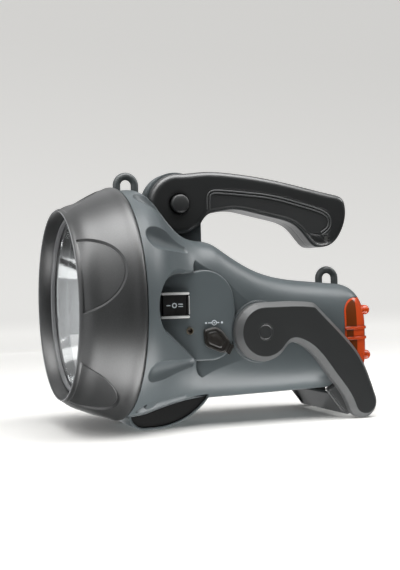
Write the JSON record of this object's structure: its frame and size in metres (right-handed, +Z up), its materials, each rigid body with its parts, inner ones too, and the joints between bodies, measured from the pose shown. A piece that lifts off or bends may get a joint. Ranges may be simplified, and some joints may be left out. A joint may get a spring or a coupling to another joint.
{
  "type": "hand spotlight",
  "caption": "Large hand-held spotlight with a folding carrying handle, a swing-down stand, a rocker switch on its side and an amber tail light.",
  "frame": {"origin": "on the ground, under the middle of the lamp's length and width", "axes": "+X towards the tail, the lamp shining along -X; the switch side at -Y; +Z up"},
  "size_m": [0.325, 0.23, 0.2535],
  "materials": {
    "housing_plastic": "fine grained grey moulding",
    "bezel_coating": "soft-touch dark grey with a fine speckle",
    "black_plastic": "fine grained black moulding",
    "grip_rubber": "smooth soft black rubber",
    "stand_plastic": "grained dark face with satin bevels",
    "loop_plastic": "satin dark grey",
    "clear_lens": "clear polished",
    "mirror_coat": "mirror bright",
    "quartz": "clear",
    "amber_lens": "glossy orange-red, half clear",
    "switch_black": "glossy black",
    "cap_rubber": "soft brown-black rubber",
    "steel": "plain zinc",
    "brass_parts": "plain",
    "board_green": "lacquered circuit board",
    "lamp_clear": "clear epoxy",
    "battery_case": "plain black case",
    "foam": "closed-cell foam",
    "gasket_rubber": "soft black"
  },
  "bodies": {
    "root": {"housing_left": "housing_plastic", "housing_right": "housing_plastic", "bezel_ring": "bezel_coating", "lens_ring": "black_plastic", "lens_glass": "clear_lens", "lens_gasket": "gasket_rubber", "reflector": "mirror_coat", "halogen_bulb": "quartz", "bulb_base": "steel", "bulb_clip": "steel", "switch_frame": "switch_black", "switch_terminals": "brass_parts", "charge_board": "board_green", "led_indicator": "lamp_clear", "led_ring": "loop_plastic", "dc_jack": "black_plastic", "cap_strap_root": "cap_rubber", "handle_shaft": "black_plastic", "handle_spring": "steel", "strap_loop_front": "loop_plastic", "strap_loop_rear": "loop_plastic", "stand_bolts": "steel", "foot_pad_left": "gasket_rubber", "foot_pad_right": "gasket_rubber", "tail_lens": "amber_lens", "tail_board": "board_green", "tail_leds": "lamp_clear", "battery": "battery_case", "battery_tabs": "brass_parts", "battery_foam": "foam", "housing_screws": "steel"},
    "handle": {"handle_shell_left": "black_plastic", "handle_shell_right": "black_plastic", "grip_pad_left": "grip_rubber", "grip_pad_right": "grip_rubber", "grip_screw": "steel"},
    "button": {"handle_button": "black_plastic"},
    "stand": {"stand_arm_left": "stand_plastic", "stand_arm_right": "stand_plastic", "stand_crossbar": "stand_plastic", "stand_caps": "black_plastic"},
    "rocker": {"switch_rocker": "switch_black"},
    "cap": {"socket_cap": "cap_rubber"}
  },
  "joints": [
    {"name": "handle_pivot", "type": "hinge", "parent": "root", "child": "handle", "pos_m": [-0.041, 0, 0.2205], "axis": [0, -1, 0], "range_deg": [0, 90]},
    {"name": "handle_button", "type": "slide", "parent": "handle", "child": "button", "axis": [0, 1, 0], "range_m": [0, 0.004], "stiffness_N_per_m": 500, "springref_m": -0.002, "deforming": ["handle_spring"]},
    {"name": "stand_pivot", "type": "hinge", "parent": "root", "child": "stand", "pos_m": [0.029, 0, 0.0917], "axis": [0, 1, 0], "range_deg": [0, 75]},
    {"name": "power_rocker", "type": "hinge", "parent": "root", "child": "rocker", "pos_m": [-0.0613, -0.051, 0.1203], "axis": [0, 0, 1], "range_deg": [-9, 9]},
    {"name": "socket_cap", "type": "hinge", "parent": "root", "child": "cap", "pos_m": [-0.00653, -0.05525, 0.07709], "axis": [0.5151, 0, 0.8571], "range_deg": [0, 85], "stiffness_Nm_per_rad": 0.004}
  ]
}
